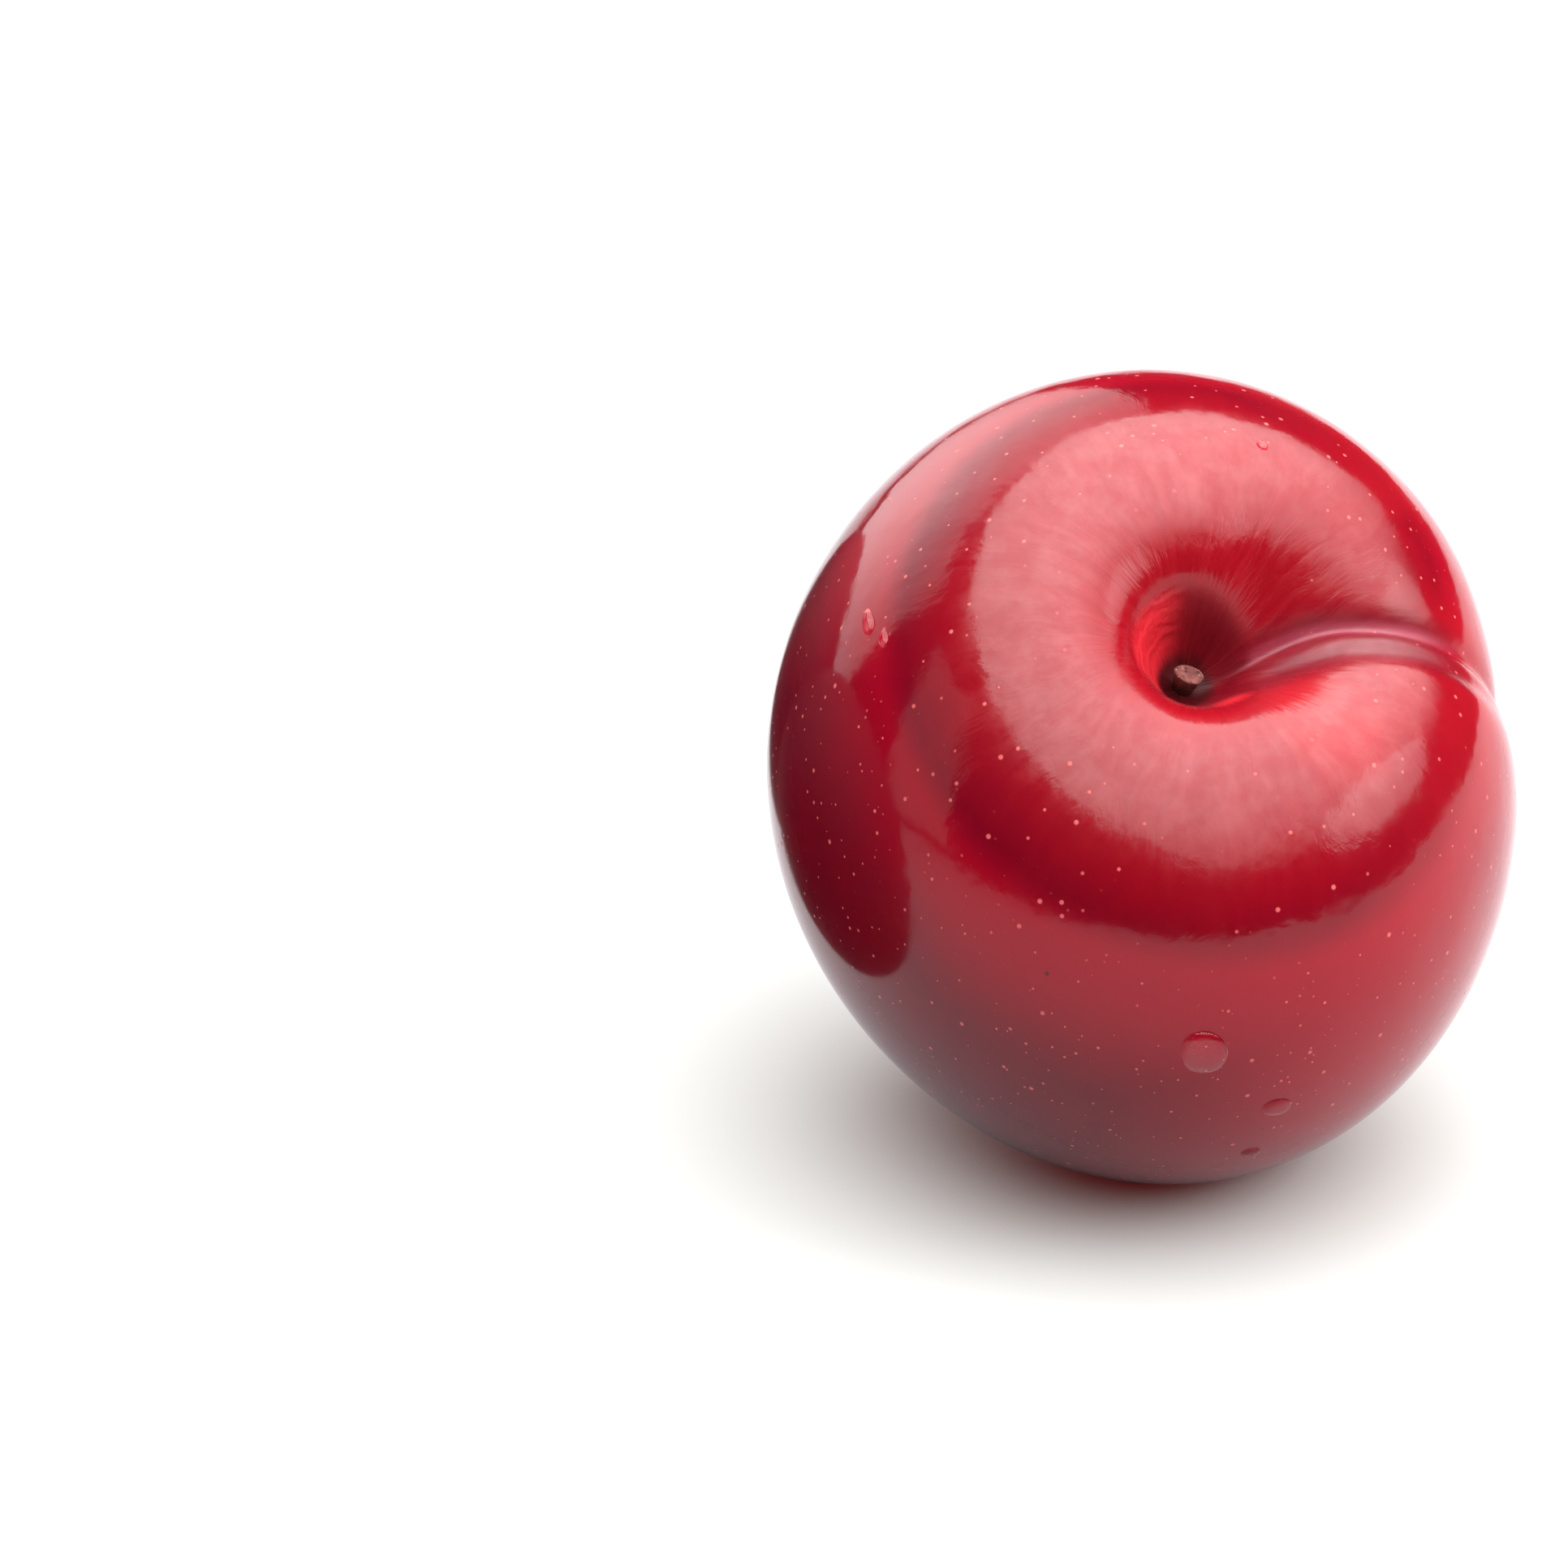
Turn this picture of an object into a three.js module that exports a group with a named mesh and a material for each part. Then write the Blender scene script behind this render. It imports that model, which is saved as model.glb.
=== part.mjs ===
// A ripe red plum, as picked and washed, lying on a small flat spot of its own weight.
//
// The fruit is modelled in its own frame: +Y is the stem axis, pointing out of the stem
// cavity, +X points at the suture (the seam that runs from the cavity to the blossom end)
// and Z runs from cheek to cheek. The rest pose then leans the stem axis forwards, towards
// -Y of the part's frame, with +Z up and the table at Z = 0.
import * as THREE from "three";

const { cos, sin, exp, hypot, acos, atan2, max, PI } = Math;

// ---- Driving dimensions, in millimetres and degrees ----

// Half-lengths of the fruit from its centre, measured in the plane of the two cheeks, at
// 0, 45, 90, 135 and 180 degrees from the stem axis.
const STEM_END = 28.6;
const SHOULDER = 32.4;
const CHEEK = 34.6;
const HIP = 33.3;
const BLOSSOM_END = 31.2;

// Across the suture the fruit is narrower than from cheek to cheek.
const SUTURE_DIAMETER = 62.3;

// The stem cavity is a bowl with a steep-sided pit at its bottom.
const BOWL_DEPTH = 7.6;
const BOWL_RADIUS = 7.6;
const BOWL_REACH = 1.8; // how much further the bowl runs out towards the suture
const PIT_DEPTH = 5.6;
const PIT_CLEARANCE = 2.3; // from the stub's side to the middle of the pit's wall
const PIT_WALL = 1.0; // how far the pit's wall is spread, so a smaller value is steeper

// The suture: a crease between two cheeks that roll down to it, and a shallower groove
// beside it on the front cheek, which leaves a narrow ridge between the two.
const CREASE_DEPTH = 1.6;
const CREASE_WIDTH = 1.5;
const CREASE_ROUND = 0.5; // how rounded the bottom of the crease is
const ROLL_DEPTH = 1.5;
const ROLL_WIDTH = 8.5;
const CHEEK_STEP = 0.55; // about half of how far the front cheek stands proud of the back one
const GROOVE_DEPTH = 0.55;
const GROOVE_WIDTH = 1.3;
const GROOVE_OFFSET = 3.0; // from the crease

// The suture wanders to either side of a plane through the stem axis.
const SUTURE_DRIFT = 2.1;
const SUTURE_CROSSING = 58.5; // where it crosses that plane, from the stem axis

// Share of the suture's depths on the fruit's flank, and what is added towards each end.
const FLANK_SHARE = 0.5;
const CAVITY_SHARE = 0.5;
const BLOSSOM_SHARE = 0.25;
const SUTURE_START = 7; // distance from the stem axis at which the suture is full

// Stretches over which the suture changes, in degrees from the stem axis.
const CAVITY_FADE = [75, 25];
const BLOSSOM_FADE = [130, 165];
const GROOVE_FADE = [80, 45];
const DRIFT_START = [5, 32];
const DRIFT_END = [170, 125];

// The dimple of the blossom end, where the flower's style was.
const TIP_DEPTH = 0.9;
const TIP_RADIUS = 2.6;

// What is left of the stem: a short stub with a worn, domed end.
const STUB_DIAMETER = 2.6;
const STUB_OVAL = 0.78; // its thickness as a share of its width
const STUB_LENGTH = 2.2;
const STUB_EDGE = 0.35; // radius of its worn edge
const SEAT_GAP = 0.3; // between the stub and the floor of the pit, along the stem axis

// Slow unevenness of a grown surface: three waves round the fruit, and two that twist
// along it. The turns are in radians.
const SWELL = 0.37;
const SWELL_WAVES = 3;
const SWELL_TURN = -2.53;
const TWIST = 0.25;
const TWIST_WAVES = 2;
const TWIST_PITCH = 3; // how fast the two waves turn towards the blossom end
const TWIST_TURN = 0.84;

// How the fruit lies.
const LEAN = 39; // stem axis from the vertical
const SPOT_DEPTH = 1.1; // how much of the round underside the flat spot takes off

// Mesh density.
const MERIDIANS = 96;
const CAVITY_RINGS = 20;
const BODY_RINGS = 32;
const CAVITY_ANGLE = 34; // degrees from the stem axis that the finer rings cover
const MERIDIAN_CROWDING = 0.62; // 0 spaces the meridians evenly, near 1 packs them at the suture
const STUB_SIDES = 20;
const STUB_EDGE_STEPS = 4;

const rad = THREE.MathUtils.degToRad;

// ---- The fruit's surface ----

// A smooth step from 0 to 1; from may be the larger of the two.
function rise(value, from, to) {
  return THREE.MathUtils.smoothstep((value - from) / (to - from), 0, 1);
}

// The same over a stretch of the way from the stem axis.
const riseOver = (polar, [from, to]) => rise(polar, rad(from), rad(to));

// Coefficients of the cosine series that passes through five values at 0, 45, ... 180 degrees.
function cosineSeries(values) {
  const last = values.length - 1;
  return values.map((_, k) => {
    const sum = values.reduce((total, value, i) => {
      const share = i === 0 || i === last ? 0.5 : 1;
      return total + share * value * cos((PI * k * i) / last);
    }, 0);
    return (sum * (k === 0 || k === last ? 1 : 2)) / last;
  });
}

const SERIES = cosineSeries([STEM_END, SHOULDER, CHEEK, HIP, BLOSSOM_END]);
const halfLength = (polar) => SERIES.reduce((sum, c, k) => sum + c * cos(k * polar), 0);

// How deep the stem cavity is at (x, z), measured down the stem axis.
function cavityDepth(x, z) {
  const stretched = x > 0 ? x / (1 + (BOWL_REACH - 1) * rise(x, 0, BOWL_RADIUS)) : x;
  const bowl = BOWL_DEPTH * exp(-((hypot(stretched, z) / BOWL_RADIUS) ** 2));
  const pitRadius = STUB_DIAMETER / 2 + PIT_CLEARANCE;
  const pit = PIT_DEPTH / (1 + exp((hypot(x, z) - pitRadius) / PIT_WALL));
  return bowl + pit;
}

// How far to one side of its plane the suture runs.
function sutureDrift(polar) {
  const turn = sin(2 * (polar - rad(SUTURE_CROSSING)));
  return SUTURE_DRIFT * turn * riseOver(polar, DRIFT_START) * riseOver(polar, DRIFT_END);
}

// How far the suture draws the surface in, at a point of the plain fruit.
function sutureDepth(x, z, polar) {
  const across = z - sutureDrift(polar);
  const crease = CREASE_DEPTH * exp((CREASE_ROUND - hypot(across, CREASE_ROUND)) / CREASE_WIDTH);
  const step = (CHEEK_STEP * 2 * across) / ROLL_WIDTH;
  const roll = (ROLL_DEPTH - step) * exp(-((across / ROLL_WIDTH) ** 2));
  const groove = GROOVE_DEPTH * exp(-(((across - GROOVE_OFFSET) / GROOVE_WIDTH) ** 2));
  const upper = CAVITY_SHARE * riseOver(polar, CAVITY_FADE);
  const lower = BLOSSOM_SHARE * riseOver(polar, BLOSSOM_FADE);
  const depth = crease + roll + groove * riseOver(polar, GROOVE_FADE);
  return rise(x, 0, SUTURE_START) * (FLANK_SHARE + upper + lower) * depth;
}

// Slow waves round and along the fruit.
function swell(azimuth, polar) {
  const round = SWELL * sin(polar) ** 2 * sin(SWELL_WAVES * azimuth + SWELL_TURN);
  const twisted = sin(TWIST_WAVES * azimuth - TWIST_PITCH * polar + TWIST_TURN);
  return round + TWIST * sin(polar) * twisted;
}

// Carries a point of the plain lathed body to the finished surface.
function sculpt(point) {
  const polar = acos(THREE.MathUtils.clamp(point.y / point.length(), -1, 1));
  const even = atan2(point.z, point.x);
  const azimuth = even - MERIDIAN_CROWDING * sin(even);
  const girth = hypot(point.x, point.z);
  point.x = girth * cos(azimuth) * (SUTURE_DIAMETER / (2 * CHEEK));
  point.z = girth * sin(azimuth);
  const grown = swell(azimuth, polar) - sutureDepth(point.x, point.z, polar);
  point.multiplyScalar(1 + grown / point.length());
  if (polar < PI / 2) {
    point.y -= cavityDepth(point.x, point.z);
  } else {
    point.y += TIP_DEPTH * exp(-((girth / TIP_RADIUS) ** 2));
  }
  return point;
}

// The plain half-profile, from the stem axis round to the blossom end.
function profile() {
  const finer = Array.from({ length: CAVITY_RINGS }, (_, i) => (i / CAVITY_RINGS) * rad(CAVITY_ANGLE));
  const wider = Array.from({ length: BODY_RINGS + 1 }, (_, i) =>
    THREE.MathUtils.lerp(rad(CAVITY_ANGLE), PI, i / BODY_RINGS),
  );
  // A lathe's profile runs upwards for its faces to point out, so it starts at the blossom end.
  return [...finer, ...wider].reverse().map((polar) => {
    const r = halfLength(polar);
    const onAxis = polar === 0 || polar === PI;
    return new THREE.Vector2(onAxis ? 0 : r * sin(polar), r * cos(polar));
  });
}

// Moves every vertex of a geometry.
function reshape(geometry, move) {
  const place = geometry.getAttribute("position");
  const point = new THREE.Vector3();
  for (let i = 0; i < place.count; i++) {
    move(point.fromBufferAttribute(place, i));
    place.setXYZ(i, point.x, point.y, point.z);
  }
  geometry.computeVertexNormals();
  return geometry;
}

// ---- The rest pose ----

const lean = new THREE.Matrix4().makeRotationX(rad(90 + LEAN));

// The box of a geometry once it is posed.
function boundsOf(geometry, pose) {
  const turned = geometry.clone().applyMatrix4(pose);
  turned.computeBoundingBox();
  return turned.boundingBox;
}

const fruitShape = reshape(new THREE.LatheGeometry(profile(), MERIDIANS), sculpt);

// The origin is under the middle of the fruit, on the flat spot's own plane.
const leaning = boundsOf(fruitShape, lean);
const middle = leaning.getCenter(new THREE.Vector3());
const pose = new THREE.Matrix4()
  .makeTranslation(-middle.x, -middle.y, -leaning.min.z - SPOT_DEPTH)
  .multiply(lean);

// Flattens what would reach below the table.
const unpose = pose.clone().invert();
reshape(fruitShape, (point) => {
  point.applyMatrix4(pose);
  point.z = max(point.z, 0);
  return point.applyMatrix4(unpose);
});

// ---- The stem stub ----

// The highest point of the pit's floor under the stub's edge.
function floorUnderStub() {
  const radius = STUB_DIAMETER / 2;
  const heights = Array.from({ length: STUB_SIDES }, (_, i) => {
    const angle = (i / STUB_SIDES) * 2 * PI;
    const x = radius * cos(angle);
    const z = radius * sin(angle);
    return halfLength(0) - cavityDepth(x, z);
  });
  return max(...heights);
}

// The stub, standing on its own base with +Y up the stem.
function stubShape() {
  const radius = STUB_DIAMETER / 2;
  const outline = new THREE.Path();
  outline.moveTo(0, 0);
  outline.lineTo(radius, 0);
  outline.lineTo(radius, STUB_LENGTH - STUB_EDGE);
  outline.absarc(radius - STUB_EDGE, STUB_LENGTH - STUB_EDGE, STUB_EDGE, 0, PI / 2, false);
  outline.lineTo(0, STUB_LENGTH);
  const points = outline.getPoints(STUB_EDGE_STEPS);
  points[points.length - 1].x = 0;
  return new THREE.LatheGeometry(points, STUB_SIDES).scale(1, 1, STUB_OVAL);
}

// ---- The scene graph ----

// A mesh of the object, with its own material.
function named(name, geometry, color, roughness) {
  const material = new THREE.MeshStandardMaterial({ color, roughness, metalness: 0 });
  const mesh = new THREE.Mesh(geometry, material);
  mesh.name = name;
  return mesh;
}

const fruit = named("fruit", fruitShape, 0x9c0a20, 0.25);
const stub = named("stem_stub", stubShape(), 0xa87860, 0.85);
stub.position.y = floorUnderStub() + SEAT_GAP;

const plum = new THREE.Group();
plum.name = "plum";
plum.add(fruit, stub);
pose.decompose(plum.position, plum.quaternion, plum.scale);

export default plum;
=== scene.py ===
"""A ripe red plum, washed and still wet, lying on a white table under a wide overhead softbox.

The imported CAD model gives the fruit's place and size. The fruit is built again here at a
finer density from the same measures, its stem stub is given its worn end, and drops of
water are laid on the skin. The plum's measures are in millimetres and turned to metres at
the end, and the studio's are in metres.
"""

import logging
from dataclasses import dataclass, field
from enum import Enum
from math import acos, atan2, cos, exp, hypot, pi, radians, sin

import bmesh
import bpy
from mathutils import Matrix, Quaternion, Vector, noise
from mathutils.bvhtree import BVHTree


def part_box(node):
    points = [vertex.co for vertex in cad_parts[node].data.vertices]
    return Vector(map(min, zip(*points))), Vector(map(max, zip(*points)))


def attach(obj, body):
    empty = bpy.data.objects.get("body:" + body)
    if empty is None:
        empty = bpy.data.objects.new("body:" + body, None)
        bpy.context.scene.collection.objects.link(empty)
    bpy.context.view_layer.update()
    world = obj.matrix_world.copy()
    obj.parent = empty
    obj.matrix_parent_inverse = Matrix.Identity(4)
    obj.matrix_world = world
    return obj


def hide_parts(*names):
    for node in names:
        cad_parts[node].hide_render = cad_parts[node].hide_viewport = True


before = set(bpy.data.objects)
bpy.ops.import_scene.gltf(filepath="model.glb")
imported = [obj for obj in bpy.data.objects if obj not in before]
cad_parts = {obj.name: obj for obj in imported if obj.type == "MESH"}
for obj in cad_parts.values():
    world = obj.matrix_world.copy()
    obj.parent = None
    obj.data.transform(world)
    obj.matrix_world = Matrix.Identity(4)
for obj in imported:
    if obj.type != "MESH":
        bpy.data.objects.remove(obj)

log = logging.getLogger("plum")

MM = 0.001
BODY = "root"

# How far the suture wanders sideways, in millimetres, and where it crosses the middle, in degrees.
SUTURE_DRIFT = 2.1
SUTURE_CROSSING = 58.5

Colour = tuple[float, float, float]
Point = tuple[float, float, float]
# Where a change starts and ends.
Step = tuple[float, float]
# Where a change starts and ends, and the levels before and after it.
Ramp = tuple[float, float, float, float]
# A noise's scale, layers and roughness.
Grain = tuple[float, float, float]
Socket = bpy.types.NodeSocket


def rise(value: float, start: float, end: float) -> float:
    """Smooth step from 0 at start to 1 at end; start may be the larger of the two.

    Args:
        value: Where the step is read.
        start: Where the step begins.
        end: Where the step is complete.

    Returns:
        A share from 0 to 1.
    """
    share = min(max((value - start) / (end - start), 0.0), 1.0)
    return share * share * (3 - 2 * share)


def rise_of_angle(angle: float, start: float, end: float) -> float:
    """The same step for an angle in radians, with its ends in degrees."""
    return rise(angle, radians(start), radians(end))


def heading(azimuth: float, elevation: float) -> Vector:
    """The direction of a place seen from the middle.

    Args:
        azimuth: Its angle round +Z in degrees; 0 faces -Y and 90 faces +X.
        elevation: Its height above the level, in degrees.

    Returns:
        A unit vector.
    """
    a, e = radians(azimuth), radians(elevation)
    return Vector((sin(a) * cos(e), -cos(a) * cos(e), sin(e)))


class Slot(Enum):
    """The record's material slots."""

    SKIN = "skin"
    STEM = "stem"
    WATER = "water"


# ---- Shader nodes ----


class Graph:
    """Adds nodes to one node tree and joins them."""

    def __init__(self, tree: bpy.types.NodeTree) -> None:
        """Keeps the tree that nodes are added to."""
        self.tree = tree

    def node(self, kind: str, inputs: dict | None = None, **settings: object) -> bpy.types.Node:
        """Adds a node.

        Args:
            kind: The node's type name.
            inputs: Values or sockets by input name or number.
            **settings: The node's own properties.

        Returns:
            The new node.
        """
        made = self.tree.nodes.new(kind)
        for name, value in settings.items():
            setattr(made, name, value)
        for name, value in (inputs or {}).items():
            self.feed(made.inputs[name], value)
        return made

    def feed(self, target: Socket, value: object) -> None:
        """Links a socket to an input, or sets the input's value.

        Args:
            target: The input.
            value: A socket, number, vector or colour.
        """
        if isinstance(value, bpy.types.NodeSocket):
            self.tree.links.new(value, target)
        elif target.type == "RGBA" and len(value) == 3:
            target.default_value = (*value, 1.0)
        else:
            target.default_value = value

    def math(self, operation: str, *values: object) -> Socket:
        """A Math node's result.

        Args:
            operation: The node's operation.
            *values: Its inputs in order.

        Returns:
            The result socket.
        """
        return self.node("ShaderNodeMath", dict(enumerate(values)), operation=operation).outputs[0]

    def times(self, first: object, second: object) -> Socket:
        """The product of two values."""
        return self.math("MULTIPLY", first, second)

    def plus(self, first: object, second: object) -> Socket:
        """The sum of two values."""
        return self.math("ADD", first, second)

    def larger(self, first: object, second: object) -> Socket:
        """The larger of two values."""
        return self.math("MAXIMUM", first, second)

    def vector(self, operation: str, *values: object, output: str = "Vector") -> Socket:
        """A Vector Math node's result.

        Args:
            operation: The node's operation.
            *values: Its vector inputs in order.
            output: The output wanted, Vector or Value.

        Returns:
            The result socket.
        """
        made = self.node("ShaderNodeVectorMath", dict(enumerate(values)), operation=operation)
        return made.outputs[output]

    def distance(self, first: object, second: object) -> Socket:
        """The distance between two points."""
        return self.vector("DISTANCE", first, second, output="Value")

    def scaled(self, vector: Socket, factor: object) -> Socket:
        """A vector times a number."""
        made = self.node("ShaderNodeVectorMath", {0: vector, "Scale": factor}, operation="SCALE")
        return made.outputs["Vector"]

    def rise(
        self, value: Socket, start: float, end: float, low: float = 0.0, high: float = 1.0
    ) -> Socket:
        """A smooth step between two levels.

        Args:
            value: What the step reads.
            start: Where it begins.
            end: Where it is complete.
            low: The level before it.
            high: The level after it.

        Returns:
            The stepped value.
        """
        inputs = {"Value": value, "From Min": start, "From Max": end, "To Min": low, "To Max": high}
        made = self.node("ShaderNodeMapRange", inputs, interpolation_type="SMOOTHSTEP")
        return made.outputs["Result"]

    def noise(self, vector: Socket, scale: float, detail: float = 2.0, rough: float = 0.5) -> Socket:
        """Noise from 0 to 1.

        Args:
            vector: Where it is read.
            scale: Its features per unit length.
            detail: How many finer layers it has.
            rough: How strong the finer layers are.

        Returns:
            The noise value.
        """
        inputs = {"Vector": vector, "Scale": scale, "Detail": detail, "Roughness": rough}
        return self.node("ShaderNodeTexNoise", inputs).outputs[0]

    def colour_noise(self, vector: Socket, scale: float) -> Socket:
        """Noise with three values of its own, for bending another pattern."""
        made = self.node("ShaderNodeTexNoise", {"Vector": vector, "Scale": scale})
        return made.outputs["Color"]

    def specks(
        self, group: bpy.types.NodeTree, vector: Socket, spacing: float, radius: float
    ) -> Socket:
        """The mask of a speck group.

        Args:
            group: The group that scatters specks.
            vector: Where it is read.
            spacing: The mean distance between specks.
            radius: The largest speck's radius.

        Returns:
            The mask.
        """
        made = self.node("ShaderNodeGroup", node_tree=group)
        for name, value in (("Vector", vector), ("Spacing", spacing), ("Radius", radius)):
            self.feed(made.inputs[name], value)
        return made.outputs["Mask"]

    def mix(self, share: object, first: object, second: object) -> Socket:
        """A blend of two colours.

        Args:
            share: How much of the second shows, from 0 to 1.
            first: The colour below.
            second: The colour above.

        Returns:
            The blended colour.
        """
        made = self.node("ShaderNodeMix", data_type="RGBA", blend_type="MIX", clamp_factor=True)
        self.feed(made.inputs["Factor"], share)
        self.feed(made.inputs[6], first)
        self.feed(made.inputs[7], second)
        return made.outputs[2]


def speck_group(smallest: float = 0.45, core: float = 0.45) -> bpy.types.NodeTree:
    """The node group that scatters round specks through space, each with its own size.

    Args:
        smallest: The smallest speck's share of the largest one's radius.
        core: The share of a speck's radius within which its mask is full.

    Returns:
        A group with inputs Vector, Spacing and Radius, and output Mask.
    """
    tree = bpy.data.node_groups.new("scattered_specks", "ShaderNodeTree")
    tree.interface.new_socket("Vector", in_out="INPUT", socket_type="NodeSocketVector")
    for name in ("Spacing", "Radius"):
        tree.interface.new_socket(name, in_out="INPUT", socket_type="NodeSocketFloat")
    tree.interface.new_socket("Mask", in_out="OUTPUT", socket_type="NodeSocketFloat")
    graph = Graph(tree)
    given = graph.node("NodeGroupInput").outputs
    density = graph.math("DIVIDE", 1.0, given["Spacing"])
    cells = graph.node("ShaderNodeTexVoronoi", {"Vector": given["Vector"], "Scale": density})
    own = graph.node("ShaderNodeSeparateColor", {0: cells.outputs["Color"]}).outputs[0]
    size = graph.times(given["Radius"], graph.rise(own, 0.0, 1.0, smallest, 1.0))
    reach = graph.times(cells.outputs["Distance"], given["Spacing"])
    share = graph.math("DIVIDE", reach, size)
    graph.node("NodeGroupOutput", {"Mask": graph.rise(share, 1.0, core)})
    return tree


# ---- Finishes ----


@dataclass(frozen=True)
class Finish:
    """A named surface finish."""

    name: str

    def fresh(self) -> tuple[bpy.types.Material, Graph, bpy.types.Node]:
        """An empty material with its Principled shader joined to the output.

        Returns:
            The material, its graph and its shader node.
        """
        material = bpy.data.materials.new(self.name)
        material.use_nodes = True
        material.node_tree.nodes.clear()
        graph = Graph(material.node_tree)
        shader = graph.node("ShaderNodeBsdfPrincipled")
        graph.node("ShaderNodeOutputMaterial", {"Surface": shader.outputs[0]})
        return material, graph, shader


@dataclass(frozen=True)
class SkinMap:
    """Where a point lies in the fruit's own frame, as sockets, in millimetres and radians.

    The point itself is own, and across is the part of it that lies across the stem axis, with
    radius its length and around its direction. Side and front are its parts towards the suture
    and the front cheek, and polar is its angle from the stem axis.
    """

    own: Socket
    across: Socket
    side: Socket
    front: Socket
    radius: Socket
    around: Socket
    polar: Socket

    @classmethod
    def of(cls, graph: Graph, pose: Matrix) -> "SkinMap":
        """Adds the nodes that read a point's place on the fruit.

        Args:
            graph: The skin's graph.
            pose: The fruit's own frame, in millimetres, to the row's frame.

        Returns:
            The point's place.
        """
        inputs = {
            "Vector": graph.node("ShaderNodeTexCoord").outputs["Object"],
            "Location": pose.translation,
            "Rotation": pose.to_euler(),
            "Scale": pose.to_scale(),
        }
        own = graph.node("ShaderNodeMapping", inputs, vector_type="TEXTURE").outputs[0]
        across = graph.vector("MULTIPLY", own, (1.0, 0.0, 1.0))
        outwards = graph.node("ShaderNodeSeparateXYZ", {0: graph.vector("NORMALIZE", own)}).outputs
        parts = graph.node("ShaderNodeSeparateXYZ", {0: own}).outputs
        return cls(
            own=own,
            across=across,
            side=parts["X"],
            front=parts["Z"],
            radius=graph.vector("LENGTH", across, output="Value"),
            around=graph.vector("NORMALIZE", across),
            polar=graph.math("ARCCOSINE", outwards["Y"]),
        )


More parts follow.
